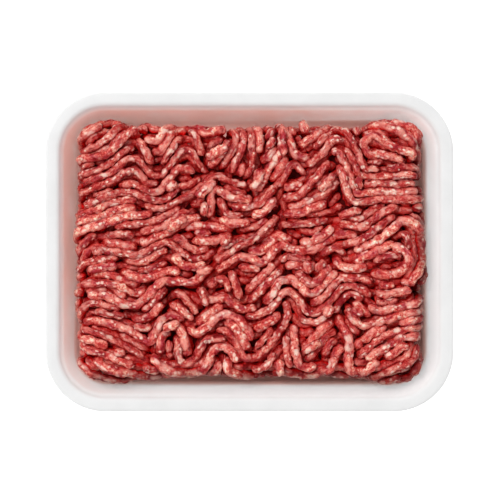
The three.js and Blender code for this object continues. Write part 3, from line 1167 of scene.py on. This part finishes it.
def fat_spots(scale, shift, least, most):
    """Soft-edged spots of fat in the chunks whose random number is above the least."""
    bend = noise(meat_tree, pattern, 700, 2, output="Color")
    bent = put(
        meat_tree,
        "ShaderNodeVectorMath",
        {0: bend, 1: grey(1.8 * MM), 2: pattern},
        operation="MULTIPLY_ADD",
    )
    shifted = put(
        meat_tree,
        "ShaderNodeMapping",
        {"Vector": bent.outputs["Vector"], "Location": grey(shift), "Scale": (0.75, 1, 1)},
    )
    chunks = put(
        meat_tree,
        "ShaderNodeTexVoronoi",
        {"Vector": shifted.outputs["Vector"], "Scale": scale},
    ).outputs
    number = put(meat_tree, "ShaderNodeSeparateColor", {"Color": chunks["Color"]})
    near = ramp(meat_tree, chunks["Distance"], [(0.2, grey(1)), (0.66, grey(0))])
    stops = [(least, grey(0)), (least + 0.15, grey(most))]
    chosen = ramp(meat_tree, number.outputs["Red"], stops, "LINEAR")
    return mixed(meat_tree, 1.0, chosen, near, "MULTIPLY")


def times(colour, factor, stops, mode="EASE"):
    """A colour multiplied by a ramp's."""
    return mixed(meat_tree, 1.0, colour, ramp(meat_tree, factor, stops, mode), "MULTIPLY")


# Lean with fat ground through it is pink, and the whole chunks of fat are nearly white.
LEAN = [(0.36, (0.40, 0.018, 0.026)), (0.5, (0.62, 0.066, 0.058)), (0.64, (0.82, 0.200, 0.160))]
MOTTLE = [(0.41, (0.68, 0.25, 0.27)), (0.5, (0.98, 0.90, 0.90)), (0.59, (1.2, 2.8, 2.75))]
OWN_TONE = [(0.0, (0.85, 0.66, 0.68)), (1.0, (1.10, 1.29, 1.27))]
PINK = (0.86, 0.31, 0.26, 1)
FAT = (0.97, 0.60, 0.52, 1)
# Painted shade: the strands are a deeper, darker red down in the gaps, and painted light makes them
# paler on their tops.
PAINTED_DEPTH_SHADING = [
    (0.06, (1.16, 0.04, 0.05)),
    (0.24, (1.02, 0.14, 0.15)),
    (0.42, (0.92, 0.45, 0.46)),
    (0.66, (1.01, 0.94, 0.94)),
    (1.0, (1.18, 1.52, 1.48)),
]
SHADED = (0.52, 0.46, 0.46, 1)
colour = ramp(meat_tree, meat_noise(230, 1.8, 3, 0.55), LEAN)
colour = times(colour, meat_noise(560, 1.2, 5, 0.85), MOTTLE)
colour = times(colour, attribute(meat_tree, "strand"), OWN_TONE, "LINEAR")
pink_stops = [(0.47, grey(0)), (0.67, grey(0.75))]
pink_share = ramp(meat_tree, meat_noise(210, 1.3, 3, 0.6), pink_stops)
colour = mixed(meat_tree, pink_share, colour, PINK)
colour = mixed(meat_tree, fat_spots(560, 0.031, 0.66, 0.8), colour, FAT)
colour = mixed(meat_tree, fat_spots(270, 0, 0.755, 0.75), colour, FAT)
# Painted shade in the gaps and painted light on the tops.
colour = times(colour, attribute(meat_tree, "exposed"), PAINTED_DEPTH_SHADING, "LINEAR")
colour = mixed(meat_tree, attribute(meat_tree, "shade"), colour, SHADED, "MULTIPLY")
wet = ramp(meat_tree, meat_noise(700, 1.0, 2), [(0.38, grey(0.28)), (0.62, grey(0.56))])
grit = bump(meat_tree, meat_noise(650, 1.4, 3, 0.6), 1.0, 0.0011)
fibre = bump(meat_tree, meat_noise(1900, 2.5, 3), 0.8, 0.0004, grit)
feed(
    meat_tree,
    shader,
    {
        "Base Color": colour,
        "Roughness": wet,
        "Specular IOR Level": 0.28,
        "Subsurface Weight": 0.3,
        "Subsurface Radius": (1.0, 0.3, 0.2),
        "Subsurface Scale": 0.0012,
        "Normal": fibre,
    },
)
strands = strand_tree()


def strand_piece(name, lines, first, step, sides):
    """Strands grown on their centre lines, as one plain mesh. First sets their random numbers."""
    source = line_object(name + "_lines", lines, first)
    modifier = source.modifiers.new("strands", "NODES")
    modifier.node_group = strands
    sizes = {**STRAND_SIZES, "Step": step * MM, "Sides": sides, "Material": meat}
    sockets = {item.name: item.identifier for item in strands.interface.items_tree}
    for key, value in sizes.items():
        modifier[sockets[key]] = value
    depsgraph = bpy.context.evaluated_depsgraph_get()
    data = bpy.data.meshes.new_from_object(source.evaluated_get(depsgraph))
    source.modifiers.remove(modifier)
    bpy.data.objects.remove(source)
    data.name = name
    mark_light(data)
    piece = bpy.data.objects.new(name, data)
    bpy.context.scene.collection.objects.link(piece)
    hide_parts("mince")
    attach(piece, "root")


# Strands whose middle is above this height count as the top of the pile.
TOP_FROM = 24
top_lines = [line for line in upper_lines if line[:, 2].mean() > TOP_FROM]
side_lines = [line for line in upper_lines if line[:, 2].mean() <= TOP_FROM]
# The strands that show most have the most points along them and round them.
strand_piece("top_strands", top_lines, 0, 1.0, 14)
strand_piece("side_strands", side_lines, 2000, 1.2, 11)
strand_piece("filler_strands", filler_lines, 3000, 1.2, 11)
strand_piece("lower_strands", lower_lines, 5000, 1.5, 9)
strand_piece("deep_strands", deep_lines, 6000, 2.0, 8)
strand_piece("loose_strands", loose_lines, 8000, 0.9, 16)

# The heart of the mince
# Under the strands that show, the mince is packed too close to tell one strand from the next.
# It is the same meat, coloured dark red as painted shade, since no light reaches it.
CORE_DEPTH = 10
CORE_INSET = 5
CORE_SHOULDER = 5
core_top = MINCE_TOP - CORE_DEPTH
core_section = turned(
    [
        (MINCE_EDGE - 1, MINCE_FOOT, 0),
        (FOOT_TUCK, MINCE_FOOT, 1),
        (0, MINCE_FOOT + FOOT_RISE, FOOT_RISE),
        (0, core_top, CORE_SHOULDER),
        (MINCE_EDGE - 1, core_top, 0),
    ]
)
core_length, core_width = MINCE_LENGTH - 2 * CORE_INSET, MINCE_WIDTH - 2 * CORE_INSET
core = dish_mesh("mince_core", core_section, core_length, core_width, MINCE_EDGE)
core.data.transform(Matrix.Translation((MINCE_MIDDLE[0] * MM, MINCE_MIDDLE[1] * MM, 0)))
heart, tree, shader = new_material("packed_mince")
lumps = noise(tree, put(tree, "ShaderNodeTexCoord").outputs["Object"], 260, 3)
dark_red = [(0.35, (0.11, 0.003, 0.003)), (0.7, (0.18, 0.009, 0.009))]
feed(
    tree,
    shader,
    {
        "Base Color": ramp(tree, lumps, dark_red),
        "Roughness": 0.7,
        "Specular IOR Level": 0.15,
        "Normal": bump(tree, lumps, 0.8, 0.001),
    },
)
core.data.materials.append(heart)
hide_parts("mince")
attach(core, "root")

# The studio
# A white table, one large soft lamp high at the upper left, and a camera on a long lens straight
# above.
TABLE_HALF = 1.5
ROOM_LIGHT = 0.54
LAMP_PLACE = (-1.9, 1.9, 5.0)
LAMP_SIZE = 1.4
LAMP_POWER = 124
corners = [(-1, -1), (1, -1), (1, 1), (-1, 1)]
table_mesh = bpy.data.meshes.new("table")
table_mesh.from_pydata(
    [(x * TABLE_HALF, y * TABLE_HALF, 0) for x, y in corners], [], [(0, 1, 2, 3)]
)
table = bpy.data.objects.new("table", table_mesh)
bpy.context.scene.collection.objects.link(table)
paper, tree, shader = new_material("white_table")
feed(
    tree,
    shader,
    {
        "Base Color": (0.93, 0.93, 0.93, 1),
        "Roughness": 0.9,
        "Specular IOR Level": 0.1,
        "Emission Color": (1, 1, 1, 1),
        "Emission Strength": 0.5,
    },
)
table.data.materials.append(paper)

world = bpy.data.worlds.new("room")
world.use_nodes = True
feed(
    world.node_tree,
    world.node_tree.nodes["Background"],
    {"Color": (1, 1, 1, 1), "Strength": ROOM_LIGHT},
)
bpy.context.scene.world = world

lamp_data = bpy.data.lights.new("key", "AREA")
lamp_data.size = LAMP_SIZE
lamp_data.energy = LAMP_POWER
lamp = bpy.data.objects.new("key", lamp_data)
lamp.location = LAMP_PLACE
lamp.rotation_euler = (-Vector(LAMP_PLACE)).to_track_quat("-Z", "Y").to_euler()
bpy.context.scene.collection.objects.link(lamp)

PIXEL = 0.575 * MM
VIEW_WIDTH = 500 * PIXEL
CAMERA_HEIGHT = 1.3
SENSOR = 36
camera_data = bpy.data.cameras.new("camera")
camera_data.sensor_width = SENSOR
camera_data.lens = SENSOR * CAMERA_HEIGHT / VIEW_WIDTH
camera = bpy.data.objects.new("camera", camera_data)
# The tray's middle is a little off the middle of the photograph.
camera.location = (0.6 * PIXEL, 1.7 * PIXEL, tray_high[2] + CAMERA_HEIGHT)
bpy.context.scene.collection.objects.link(camera)
bpy.context.scene.camera = camera
bpy.context.scene.view_settings.view_transform = "Standard"
bpy.context.scene.view_settings.look = "Medium High Contrast"
